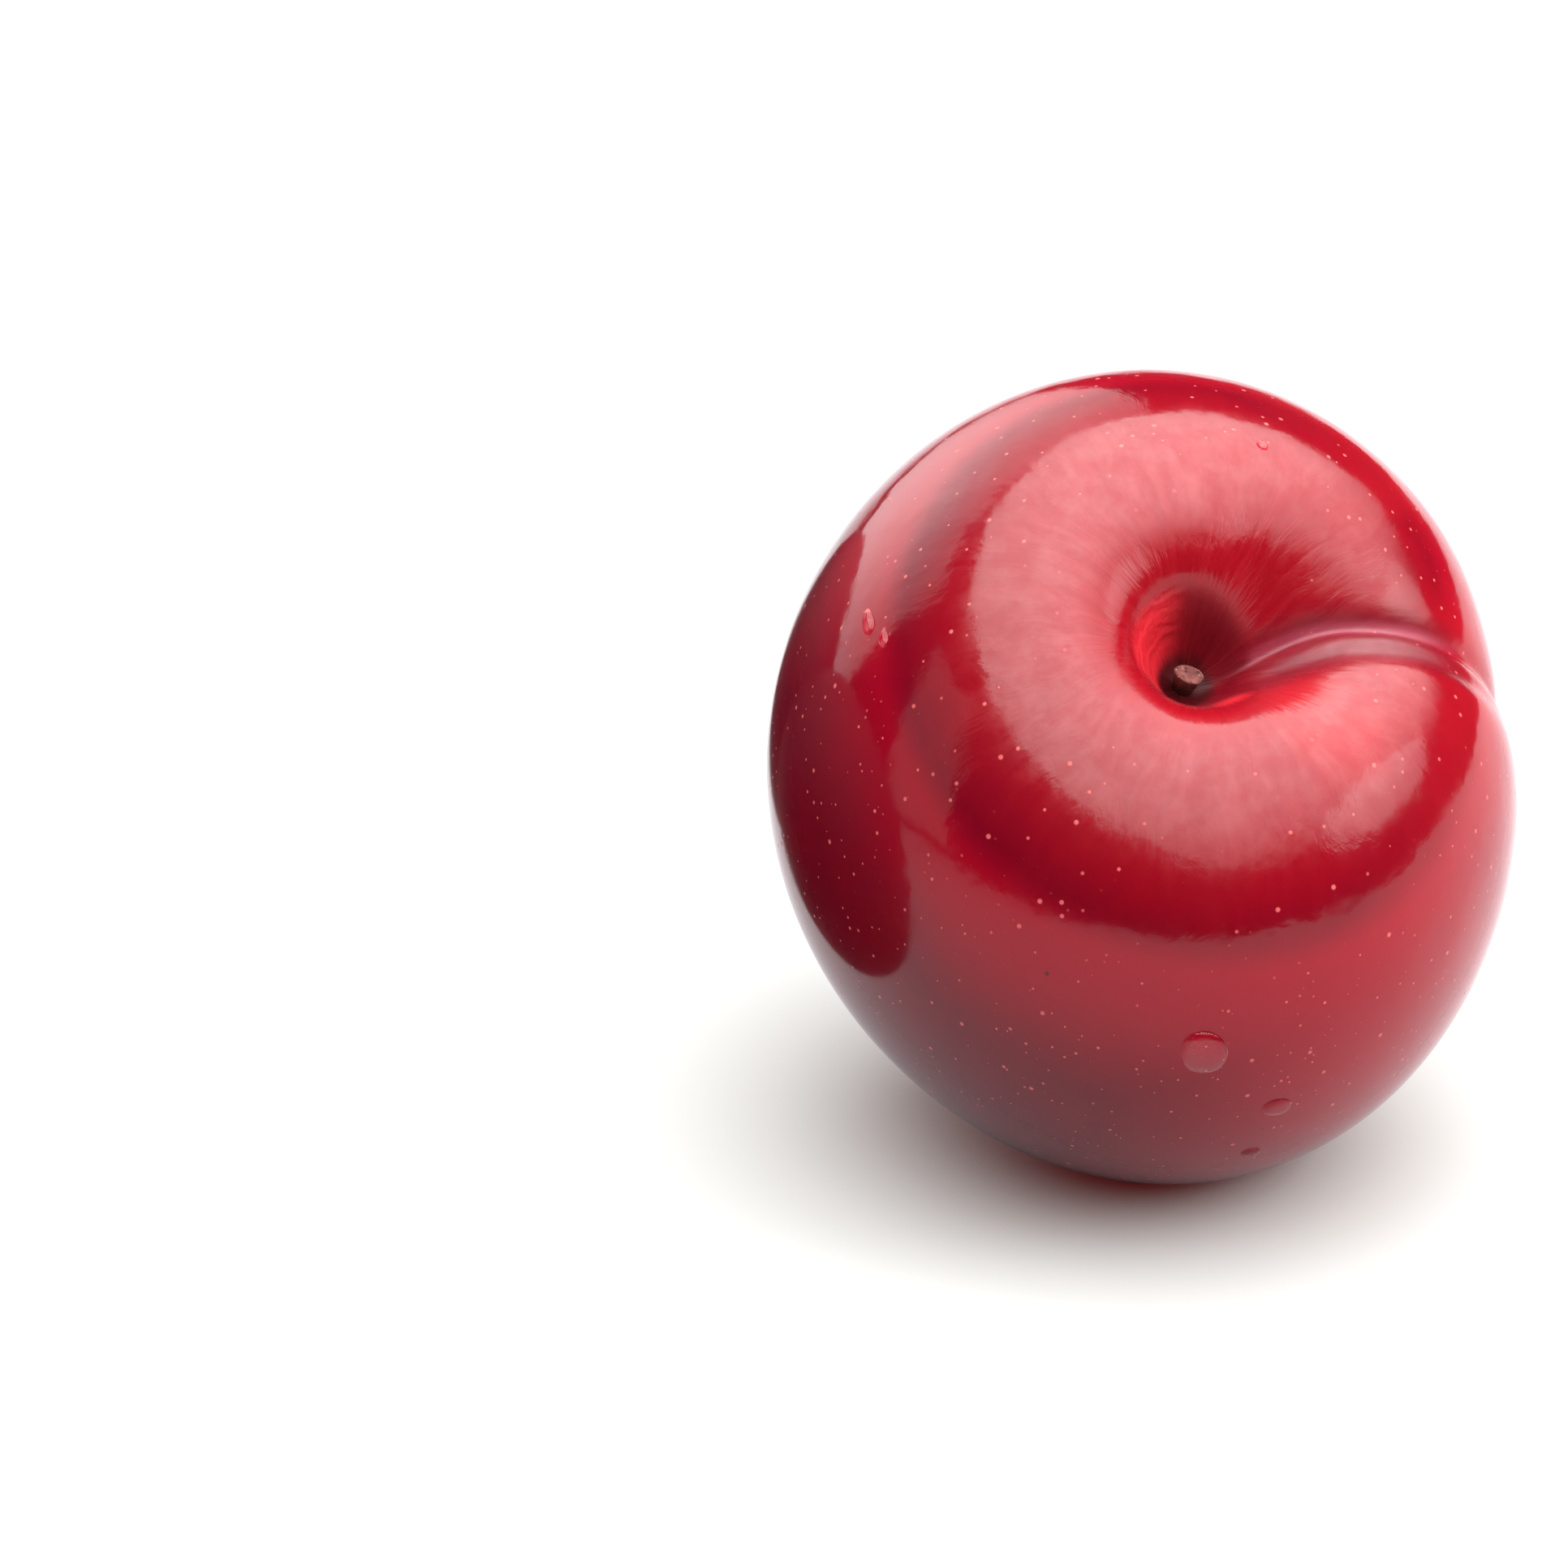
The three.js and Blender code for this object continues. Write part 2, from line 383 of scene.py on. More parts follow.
@dataclass(frozen=True)
class PlumSkin(Finish):
    """Glossy waxed skin: crimson with a darker and a redder cast, pale dots and fine streaks.

    A Step says where a change starts and ends, in millimetres, in radians from the stem axis
    or as a share of a noise. A Ramp adds the levels before and after it. Light and shade are
    painted into the colour in the stem cavity, along the suture, round the shoulder and on the belly.
    """

    name: str = "plum_skin"

    crimson: Colour = (0.112, 0.0004, 0.005)
    # The darker cast away from the suture; also painted shade in the suture's groove.
    purple: Colour = (0.085, 0.0006, 0.007)
    # Painted light: the belly is made redder where light thrown up from the table falls.
    belly_bounce_red: Colour = (0.205, 0.001, 0.008)
    # Painted light: the bright red of the cavity's lit wall and front lip.
    pit_lit_red: Colour = (0.44, 0.012, 0.02)
    # Painted shade round the stem's foot.
    shade: Colour = (0.035, 0.001, 0.002)
    # Painted highlight along the suture's crease.
    seam_highlight_pink: Colour = (0.38, 0.06, 0.1)
    scarlet: Colour = (0.28, 0.005, 0.009)
    pale: Colour = (0.5, 0.1, 0.09)
    fleck: Colour = (0.05, 0.006, 0.006)

    refraction: float = 1.38
    bloom_roughness: float = 0.3
    glow: float = 0.3
    glow_spread: Colour = (1.0, 0.2, 0.15)
    glow_depth: float = 0.003

    bend: tuple[float, float] = (0.1, 0.35)
    streaks_round: float = 12.0
    streak_length: float = 3.5
    streak_grain: Grain = (1.0, 4.0, 0.62)
    streak_contrast: Step = (0.36, 0.7)
    streak_colour: Ramp = (1.1, 0.35, 0.02, 0.18)
    streak_roughness: Ramp = (1.0, 0.3, 0.0, 0.1)
    streak_relief: Ramp = (1.2, 0.3, 0.0, 0.02)

    mottle_grain: Grain = (0.45, 4.0, 0.6)
    mottle_contrast: Step = (0.35, 0.68)
    bloom_streaks: float = 0.4
    bloom_mottles: float = 0.6
    bloom_inner: Step = (8.0, 12.0)
    bloom_outer: Step = (0.8, 0.62)
    bloom_weight: Ramp = (0.0, 1.0, 0.0, 0.36)

    large_dots: tuple[float, float] = (1.65, 0.27)
    large_dots_in: Step = (0.35, 0.6)
    small_dots: tuple[float, float] = (1.2, 0.17)
    small_dots_in: Step = (0.7, 1.3)
    flecks: tuple[float, float] = (7.0, 0.3)
    dot_colour: float = 0.7
    dot_roughness: float = 0.25
    dot_height: float = 0.01

    cloud_grain: Grain = (0.05, 4.0, 0.6)
    purple_side: Ramp = (4.0, -30.0, 0.0, 0.2)
    purple_contrast: Step = (0.5, 0.85)
    belly_top: Step = (0.86, 0.97)
    belly_bottom: Step = (1.4, 1.05)
    belly_right: Step = (-14.0, 8.0)
    belly_left: Ramp = (-31.0, -22.0, 0.3, 1.0)
    sunny_side: Ramp = (2.0, 26.0, 0.0, 0.55)
    sunny_contrast: Step = (0.2, 0.6)
    sunny_and_lit_shoulder: Ramp = (0.95, 0.6, 0.0, 0.45)
    blush_at: Point = (8.0, 21.0, 10.0)
    blush_reach: Step = (11.0, 3.0)
    blush_contrast: Step = (0.25, 0.6)

    # How strongly the cavity's painted light and shade show: lit parts bright red, the rest of the
    # hollow dark crimson.
    cavity_light_and_shade: float = 0.9
    cavity_edge: Step = (6.0, 4.8)
    stem_shade_edge: Step = (2.9, 1.9)
    stem_half: Step = (1.2, 0.7)
    lit_side: Step = (1.0, -2.5)
    lit_front: Step = (3.0, 0.0)
    lip_at: Point = (2.5, 0.0, 5.6)
    lip_reach: Step = (3.0, 1.2)

    seam_band: tuple[float, float, float] = (1.5, 1.5, 4.0)
    seam_line: tuple[float, float, float] = (0.0, 0.15, 0.8)
    groove_shade_strength: float = 0.75
    seam_highlight_strength: float = 0.35
    seam_drift: Ramp = (0.09, 0.56, 0.0, SUTURE_DRIFT)
    seam_side: Step = (2.0, 5.0)
    seam_end: Step = (1.1, 0.7)

    wax_grain: Grain = (0.12, 3.0, 0.5)
    wax_roughness: Ramp = (0.35, 0.7, 0.09, 0.15)
    dull_edge: Step = (6.5, 4.5)
    dull_roughness: Ramp = (1.3, 0.9, 0.0, 0.26)

    wave_grain: Grain = (0.2, 2.0, 0.5)
    wave_height: float = 0.1
    fine_grain: Grain = (1.6, 3.0, 0.5)
    fine_height: float = 0.007
    relief_end: Step = (1.55, 1.0)
    wrinkle_grain: Grain = (0.5, 2.0, 0.5)
    wrinkle_bend: float = 1.6
    wrinkle_rate: float = 7.5
    wrinkle_outer: Step = (6.4, 4.6)
    wrinkle_inner: Step = (2.4, 3.4)
    wrinkle_side: Step = (0.5, -1.5)
    wrinkle_height: float = 0.035
    lip_edge: Step = (9.0, 4.0)
    lip_relief: Ramp = (2.0, -1.0, -0.126, 0.42)

    def material(self, specks: bpy.types.NodeTree, pose: Matrix) -> bpy.types.Material:
        """Builds the skin's material.

        Args:
            specks: The group that scatters specks.
            pose: The fruit's own frame, in millimetres, to the row's frame.

        Returns:
            The material.
        """
        material, graph, shader = self.fresh()
        place = SkinMap.of(graph, pose)
        streaks = self.streaks(graph, place)
        dots = self.dots(graph, place, specks)
        graph.feed(shader.inputs["Base Color"], self.colour(graph, place, streaks, dots, specks))
        graph.feed(shader.inputs["Roughness"], self.gloss(graph, place, streaks, dots))
        graph.feed(shader.inputs["Normal"], self.relief(graph, place, streaks, dots))
        graph.feed(shader.inputs["Coat Weight"], self.bloom(graph, place, streaks))
        shader.inputs["Coat Roughness"].default_value = self.bloom_roughness
        shader.inputs["IOR"].default_value = self.refraction
        shader.inputs["Subsurface Weight"].default_value = self.glow
        shader.inputs["Subsurface Radius"].default_value = self.glow_spread
        shader.inputs["Subsurface Scale"].default_value = self.glow_depth
        return material

    def streaks(self, graph: Graph, place: SkinMap) -> Socket:
        """Fine streaks that fan out from the stem cavity and fade down the cheeks.

        Args:
            graph: The skin's graph.
            place: Where the point lies.

        Returns:
            The streaks, from 0 to 1 about a middle of one half.
        """
        bend_scale, bend_reach = self.bend
        bend = graph.scaled(graph.colour_noise(place.own, bend_scale), bend_reach)
        bent = graph.vector("ADD", place.around, bend)
        down = graph.node("ShaderNodeCombineXYZ", {1: graph.times(place.polar, self.streak_length)})
        strokes = graph.vector("ADD", graph.scaled(bent, self.streaks_round), down.outputs[0])
        return graph.rise(graph.noise(strokes, *self.streak_grain), *self.streak_contrast)

    def bloom(self, graph: Graph, place: SkinMap, streaks: Socket) -> Socket:
        """The hazy wax that mottles the shoulder round the stem cavity.

        Args:
            graph: The skin's graph.
            place: Where the point lies.
            streaks: The fine streaks.

        Returns:
            How much wax there is, from 0 to 1.
        """
        mottles = graph.rise(graph.noise(place.own, *self.mottle_grain), *self.mottle_contrast)
        streaky = graph.times(streaks, self.bloom_streaks)
        patchy = graph.plus(streaky, graph.times(mottles, self.bloom_mottles))
        inner = graph.rise(place.radius, *self.bloom_inner)
        shoulder = graph.times(inner, graph.rise(place.polar, *self.bloom_outer))
        return graph.times(patchy, graph.rise(shoulder, *self.bloom_weight))

    def dots(self, graph: Graph, place: SkinMap, specks: bpy.types.NodeTree) -> Socket:
        """Pale dots: larger and sparser on the shoulder, small and close towards the blossom end.

        Args:
            graph: The skin's graph.
            place: Where the point lies.
            specks: The group that scatters specks.

        Returns:
            The dots' mask.
        """
        large = graph.specks(specks, place.own, *self.large_dots)
        small = graph.specks(specks, place.own, *self.small_dots)
        large = graph.times(large, graph.rise(place.polar, *self.large_dots_in))
        small = graph.times(small, graph.rise(place.polar, *self.small_dots_in))
        return graph.larger(large, small)

    def colour(
        self, graph: Graph, place: SkinMap, streaks: Socket, dots: Socket, specks: bpy.types.NodeTree
    ) -> Socket:
        """The skin's colour.

        Args:
            graph: The skin's graph.
            place: Where the point lies.
            streaks: The fine streaks.
            dots: The pale dots' mask.
            specks: The group that scatters specks.

        Returns:
            The colour.
        """
        cloud = graph.noise(place.own, *self.cloud_grain)
        colour = self.ground(graph, place, cloud)
        colour = graph.mix(self.blush(graph, place, cloud), colour, self.scarlet)
        # Painted shade: the groove beside the suture's crease is darkened to purple.
        painted_groove_shade = graph.times(self.seam(graph, place, *self.seam_band), self.groove_shade_strength)
        colour = graph.mix(painted_groove_shade, colour, self.purple)
        # Painted highlight: a soft pink line along the suture's crease.
        line = graph.times(self.seam(graph, place, *self.seam_line), self.seam_highlight_strength)
        colour = graph.mix(line, colour, self.seam_highlight_pink)
        colour = self.cavity(graph, place, colour)
        near = graph.rise(place.polar, *self.streak_colour)
        colour = graph.mix(graph.times(streaks, near), colour, self.scarlet)
        colour = graph.mix(graph.times(dots, self.dot_colour), colour, self.pale)
        return graph.mix(graph.specks(specks, place.own, *self.flecks), colour, self.fleck)

    def ground(self, graph: Graph, place: SkinMap, cloud: Socket) -> Socket:
        """The skin's ground colour: crimson, purple away from the suture and redder on the belly.

        Args:
            graph: The skin's graph.
            place: Where the point lies.
            cloud: The slow noise that blurs one colour into the next.

        Returns:
            The colour.
        """
        shaded = graph.plus(graph.rise(place.side, *self.purple_side), cloud)
        colour = graph.mix(graph.rise(shaded, *self.purple_contrast), self.crimson, self.purple)
        # Painted bounce light: the belly is redder where light from the table falls, which leaves a
        # darker crimson band under the shoulder as painted shade.
        bottom = graph.rise(place.polar, *self.belly_bottom)
        low = graph.larger(bottom, graph.rise(place.side, *self.belly_right))
        belly = graph.times(graph.rise(place.polar, *self.belly_top), low)
        belly = graph.times(belly, graph.rise(place.side, *self.belly_left))
        return graph.mix(belly, colour, self.belly_bounce_red)

    def blush(self, graph: Graph, place: SkinMap, cloud: Socket) -> Socket:
        """Where the skin turns scarlet: on the suture's side, round the shoulder and in one patch.

        Args:
            graph: The skin's graph.
            place: Where the point lies.
            cloud: The slow noise that blurs one colour into the next.

        Returns:
            The blush, from 0 to 1.
        """
        sunny = graph.rise(place.side, *self.sunny_side)
        sunny = graph.times(sunny, graph.rise(cloud, *self.sunny_contrast))
        # Round the shoulder the scarlet is partly the skin's own and partly painted light, where the
        # overhead lamp falls on the upturned shoulder.
        shoulder = graph.rise(place.polar, *self.sunny_and_lit_shoulder)
        patch = graph.rise(graph.distance(place.own, self.blush_at), *self.blush_reach)
        patch = graph.times(patch, graph.rise(cloud, *self.blush_contrast))
        return graph.larger(patch, graph.larger(shoulder, sunny))

    def cavity(self, graph: Graph, place: SkinMap, colour: Socket) -> Socket:
        """Colours the stem cavity: a redder wall and lip, and shade round the stem's foot.

        Args:
            graph: The skin's graph.
            place: Where the point lies.
            colour: The skin's colour so far.

        Returns:
            The colour with the cavity's in it.
        """
        # Painted light and shade: bright red on the lit side of the wall and the front lip, dark
        # crimson in the rest of the hollow, and painted shade round the stem's foot.
        upper = graph.rise(place.polar, *self.stem_half)
        hollow = graph.times(graph.rise(place.radius, *self.cavity_edge), upper)
        stem_shade = graph.times(graph.rise(place.radius, *self.stem_shade_edge), upper)
        lit = graph.times(
            graph.rise(place.side, *self.lit_side), graph.rise(place.front, *self.lit_front)
        )
        lip = graph.rise(graph.distance(place.across, self.lip_at), *self.lip_reach)
        wall = graph.mix(graph.larger(lit, lip), self.crimson, self.pit_lit_red)
        colour = graph.mix(graph.times(hollow, self.cavity_light_and_shade), colour, wall)
        return graph.mix(stem_shade, colour, self.shade)

    def gloss(self, graph: Graph, place: SkinMap, streaks: Socket, dots: Socket) -> Socket:
        """The skin's roughness.

        Args:
            graph: The skin's graph.
            place: Where the point lies.
            streaks: The fine streaks.
            dots: The pale dots' mask.

        Returns:
            The roughness.
        """
        waxed = graph.rise(graph.noise(place.own, *self.wax_grain), *self.wax_roughness)
        near = graph.times(streaks, graph.rise(place.polar, *self.streak_roughness))
        hollow = graph.rise(place.radius, *self.dull_edge)
        dull = graph.larger(hollow, self.seam(graph, place, *self.seam_band))
        dull = graph.times(dull, graph.rise(place.polar, *self.dull_roughness))
        rough = graph.plus(graph.plus(waxed, near), dull)
        return graph.plus(rough, graph.times(dots, self.dot_roughness))

    def seam(self, graph: Graph, place: SkinMap, offset: float, near: float, far: float) -> Socket:
        """How near a point lies to a line beside the suture's crease, at its upper end.

        Args:
            graph: The skin's graph.
            place: Where the point lies.
            offset: How far the line lies from the crease, towards the front cheek.
            near: The distance from the line within which the answer is 1.
            far: The distance beyond which it is 0.

        Returns:
            The nearness, from 0 to 1.
        """
        past = graph.math("SUBTRACT", place.polar, radians(SUTURE_CROSSING))
        wave = graph.math("SINE", graph.times(past, 2.0))
        drift = graph.times(wave, graph.rise(place.polar, *self.seam_drift))
        across = graph.math("SUBTRACT", graph.math("SUBTRACT", place.front, drift), offset)
        side = graph.rise(place.side, *self.seam_side)
        upper = graph.times(side, graph.rise(place.polar, *self.seam_end))
        return graph.times(graph.rise(graph.math("ABSOLUTE", across), far, near), upper)

    def relief(self, graph: Graph, place: SkinMap, streaks: Socket, dots: Socket) -> Socket:
        """The skin's fine relief.

        Args:
            graph: The skin's graph.
            place: Where the point lies.
            streaks: The fine streaks.
            dots: The pale dots' mask.

        Returns:
            The bumped normal.
        """
        waves = graph.times(graph.noise(place.own, *self.wave_grain), self.wave_height)
        fine = graph.times(graph.noise(place.own, *self.fine_grain), self.fine_height)
        even = graph.times(graph.plus(waves, fine), graph.rise(place.polar, *self.relief_end))
        lines = graph.times(streaks, graph.rise(place.polar, *self.streak_relief))
        tilt = graph.rise(place.front, *self.lip_relief)
        lip = graph.times(graph.rise(place.radius, *self.lip_edge), tilt)
        wrinkled = graph.plus(lines, self.wrinkles(graph, place))
        total = graph.plus(graph.plus(even, lip), wrinkled)
        total = graph.plus(total, graph.times(dots, self.dot_height))
        return graph.node("ShaderNodeBump", {"Height": total, "Distance": MM}).outputs[0]

    def wrinkles(self, graph: Graph, place: SkinMap) -> Socket:
        """Rings of fine wrinkles on the cavity's wall, away from the suture.

        Args:
            graph: The skin's graph.
            place: Where the point lies.

        Returns:
            Their height, in millimetres.
        """
        uneven = graph.times(graph.noise(place.own, *self.wrinkle_grain), self.wrinkle_bend)
        bent = graph.plus(place.radius, uneven)
        rings = graph.math("SINE", graph.times(bent, self.wrinkle_rate))
        outer = graph.rise(place.radius, *self.wrinkle_outer)
        folds = graph.times(outer, graph.rise(place.radius, *self.wrinkle_inner))
        folds = graph.times(folds, graph.rise(place.side, *self.wrinkle_side))
        return graph.times(graph.times(rings, folds), self.wrinkle_height)


@dataclass(frozen=True)
class StemBark(Finish):
    """Dry, corky stem: reddish brown and pitted, with pale crumbs, and darker down its side."""

    name: str = "stem_bark"
    # These colours are darkened as painted shade, for the stub stands deep in the pit; under that the
    # stem is reddish brown.
    worn: Colour = (0.15, 0.038, 0.03)
    brown: Colour = (0.05, 0.011, 0.009)
    chalk: Colour = (0.45, 0.2, 0.17)
    patch_grain: Grain = (1.1, 3.0, 0.5)
    patch_contrast: Step = (0.35, 0.65)
    patch_colour: float = 0.5
    side: Step = (0.7, 1.25)
    fibres_round: float = 9.0
    fibre_grain: Grain = (1.0, 2.0, 0.5)
    pits: tuple[float, float] = (0.42, 0.2)
    # Painted shade in the little pits of the cork.
    pit_shade: float = 0.8
    pit_height: float = 0.06
    crumbs: tuple[float, float] = (0.3, 0.09)
    crumb_colour: float = 0.7
    crumb_height: float = 0.5
    roughness: Ramp = (0.0, 1.0, 0.75, 0.9)

    def material(self, specks: bpy.types.NodeTree, pose: Matrix) -> bpy.types.Material:
        """Builds the stem's material.

        Args:
            specks: The group that scatters specks.
            pose: The fruit's own frame, in millimetres, to the row's frame.

        Returns:
            The material.
        """
        material, graph, shader = self.fresh()
        place = SkinMap.of(graph, pose)
        pits = graph.specks(specks, place.own, *self.pits)
        crumbs = graph.specks(specks, place.own, *self.crumbs)
        fibres = graph.noise(graph.scaled(place.around, self.fibres_round), *self.fibre_grain)
        patches = graph.rise(graph.noise(place.own, *self.patch_grain), *self.patch_contrast)
        edge = graph.rise(place.radius, *self.side)
        brown = graph.larger(graph.times(edge, fibres), graph.times(pits, self.pit_shade))
        colour = graph.mix(graph.times(patches, self.patch_colour), self.worn, self.brown)
        colour = graph.mix(brown, colour, self.brown)
        colour = graph.mix(graph.times(crumbs, self.crumb_colour), colour, self.chalk)
        graph.feed(shader.inputs["Base Color"], colour)
        graph.feed(shader.inputs["Roughness"], graph.rise(patches, *self.roughness))
        height = graph.math("SUBTRACT", graph.times(crumbs, self.crumb_height), pits)
        height = graph.times(height, self.pit_height)
        bump = graph.node("ShaderNodeBump", {"Height": height, "Distance": MM})
        graph.feed(shader.inputs["Normal"], bump.outputs[0])
        return material


@dataclass(frozen=True)
class ClearWater(Finish):
    """Clear water with the faintest ripple on it."""

    name: str = "clear_water"
    ripple_scale: float = 0.6
    ripple_height: float = 0.01
    refraction: float = 1.33

    def material(self) -> bpy.types.Material:
        """Builds the water's material.

        Returns:
            The material.
        """
        material, graph, shader = self.fresh()
        place = graph.scaled(graph.node("ShaderNodeTexCoord").outputs["Object"], 1 / MM)
        height = graph.times(graph.noise(place, self.ripple_scale), self.ripple_height)
        bump = graph.node("ShaderNodeBump", {"Height": height, "Distance": MM})
        graph.feed(shader.inputs["Normal"], bump.outputs[0])
        shader.inputs["Base Color"].default_value = (1.0, 1.0, 1.0, 1.0)
        shader.inputs["Roughness"].default_value = 0.0
        shader.inputs["Transmission Weight"].default_value = 1.0
        shader.inputs["IOR"].default_value = self.refraction
        return material


# ---- The fruit ----


@dataclass
class Fruit:
    """The fruit's skin, in its own frame: +Y is the stem axis and +X points at the suture."""

    stem_end: float = 28.6
    shoulder: float = 32.4
    cheek: float = 34.6
    hip: float = 33.3
    blossom_end: float = 31.2
    suture_diameter: float = 62.3
    bowl_depth: float = 7.6
    bowl_radius: float = 7.6
    bowl_reach: float = 1.8
    pit_depth: float = 5.6
    pit_radius: float = 3.6
    pit_wall: float = 1.0
    crease_depth: float = 1.6
    crease_width: float = 1.5
    crease_round: float = 0.5
    roll_depth: float = 1.5
    roll_width: float = 8.5
    cheek_step: float = 0.55
    groove_depth: float = 0.55
    groove_width: float = 1.3
    groove_offset: float = 3.0
    groove_end: Step = (80.0, 45.0)
    suture_side: Step = (0.0, 7.0)
    suture_leaves: Step = (5.0, 32.0)
    suture_arrives: Step = (170.0, 125.0)
    suture_middle: float = 0.5
    suture_top: Ramp = (75.0, 25.0, 0.0, 0.5)
    suture_tail: Ramp = (130.0, 165.0, 0.0, 0.25)
    tip_depth: float = 0.9
    tip_radius: float = 2.6
    swell_height: float = 0.37
    swell_turn: float = -2.53
    twist_height: float = 0.25
    twist_turn: float = 0.84
    lean: float = 39
    meridians: int = 256
    rings: int = 300
    crowding: float = 0.62
    ring_crowding: float = 0.5
    series: list[float] = field(init=False)

    def __post_init__(self) -> None:
        """Works out the cosine series through the five half-lengths."""
        values = [self.stem_end, self.shoulder, self.cheek, self.hip, self.blossom_end]
        last = len(values) - 1
        ends = (0, last)
        self.series = [
            sum(v * (0.5 if i in ends else 1) * cos(pi * k * i / last) for i, v in enumerate(values))
            * (1 if k in ends else 2)
            / last
            for k in range(last + 1)
        ]

    def half_length(self, polar: float) -> float:
        """Distance from the centre to the plain body's surface.

        Args:
            polar: Angle from the stem axis, in radians.

        Returns:
            The distance, in millimetres.
        """
        return sum(c * cos(k * polar) for k, c in enumerate(self.series))

    def cavity_depth(self, x: float, z: float) -> float:
        """How deep the stem cavity is, measured down the stem axis.

        Args:
            x: Towards the suture.
            z: Towards the front cheek.

        Returns:
            The depth, in millimetres.
        """
        stretched = x / (1 + (self.bowl_reach - 1) * rise(x, 0, self.bowl_radius)) if x > 0 else x
        bowl = self.bowl_depth * exp(-((hypot(stretched, z) / self.bowl_radius) ** 2))
        pit = self.pit_depth / (1 + exp((hypot(x, z) - self.pit_radius) / self.pit_wall))
        return bowl + pit

    def suture_depth(self, x: float, z: float, polar: float) -> float:
        """How far the suture draws the surface in.

        Args:
            x: Towards the suture.
            z: Towards the front cheek.
            polar: Angle from the stem axis, in radians.

        Returns:
            The depth, in millimetres.
        """
        leaving = rise_of_angle(polar, *self.suture_leaves)
        arriving = rise_of_angle(polar, *self.suture_arrives)
        turn = sin(2 * (polar - radians(SUTURE_CROSSING)))
        z -= SUTURE_DRIFT * turn * leaving * arriving
        depth = self.suture_middle
        for start, end, low, high in (self.suture_top, self.suture_tail):
            depth += low + (high - low) * rise_of_angle(polar, start, end)
        away = hypot(z, self.crease_round) - self.crease_round
        crease = self.crease_depth * exp(-away / self.crease_width)
        slope = self.roll_depth - self.cheek_step * 2 * z / self.roll_width
        roll = slope * exp(-((z / self.roll_width) ** 2))
        groove = self.groove_depth * exp(-(((z - self.groove_offset) / self.groove_width) ** 2))
        groove *= rise_of_angle(polar, *self.groove_end)
        return rise(x, *self.suture_side) * depth * (crease + roll + groove)

    def swell(self, azimuth: float, polar: float) -> float:
        """Slow unevenness of a grown surface.

        Args:
            azimuth: Angle round the stem axis, in radians.
            polar: Angle from the stem axis, in radians.

        Returns:
            The height, in millimetres.
        """
        round_waves = sin(polar) ** 2 * sin(3 * azimuth + self.swell_turn)
        long_waves = sin(polar) * sin(2 * azimuth - 3 * polar + self.twist_turn)
        return self.swell_height * round_waves + self.twist_height * long_waves

    def sculpt(self, direction: Vector) -> Vector:
        """Carries a point of a unit sphere to the fruit's surface.

        Args:
            direction: The point, with +Y at the stem end.

        Returns:
            The surface point, in millimetres.
        """
        even = acos(min(max(direction.y, -1), 1))
        polar = even - self.ring_crowding * sin(even)
        turn = atan2(direction.z, direction.x)
        azimuth = turn - self.crowding * sin(turn)
        length = self.half_length(polar)
        girth = length * sin(polar)
        x = girth * cos(azimuth) * self.suture_diameter / (2 * self.cheek)
        point = Vector((x, length * cos(polar), girth * sin(azimuth)))
        grown = self.swell(azimuth, polar) - self.suture_depth(point.x, point.z, polar)
        point *= 1 + grown / point.length
        if polar < pi / 2:
            point.y -= self.cavity_depth(point.x, point.z)
        else:
            point.y += self.tip_depth * exp(-((girth / self.tip_radius) ** 2))
        return point

    def pose(self, mesh: bmesh.types.BMesh) -> Matrix:
        """The matrix that lays the sculpted fruit where the CAD fruit lies.

        Args:
            mesh: The fruit in its own frame, in millimetres.

        Returns:
            The fruit's own frame to the row's frame, in metres.
        """
        leaning = Matrix.Rotation(radians(90 + self.lean), 4, "X") @ Matrix.Scale(MM, 4)
        points = [leaning @ v.co for v in mesh.verts]
        low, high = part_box("fruit")
        middle = (low + high) / 2
        at = [(min(p[i] for p in points) + max(p[i] for p in points)) / 2 for i in (0, 1)]
        top = max(p.z for p in points)
        shift = Vector((middle.x - at[0], middle.y - at[1], high.z - top))
        return Matrix.Translation(shift) @ leaning

    def build(self) -> tuple[bpy.types.Object, Matrix]:
        """Builds the fruit.

        Returns:
            The object and its pose.
        """
        mesh = bmesh.new()
        upright = Matrix.Rotation(radians(-90), 4, "X")
        bmesh.ops.create_uvsphere(
            mesh, u_segments=self.meridians, v_segments=self.rings, radius=1, matrix=upright
        )
        for vertex in mesh.verts:
            vertex.co = self.sculpt(vertex.co)
        pose = self.pose(mesh)
        for vertex in mesh.verts:
            vertex.co = pose @ vertex.co
            vertex.co.z = max(vertex.co.z, 0)
        return finished("plum_skin", mesh, "fruit"), pose


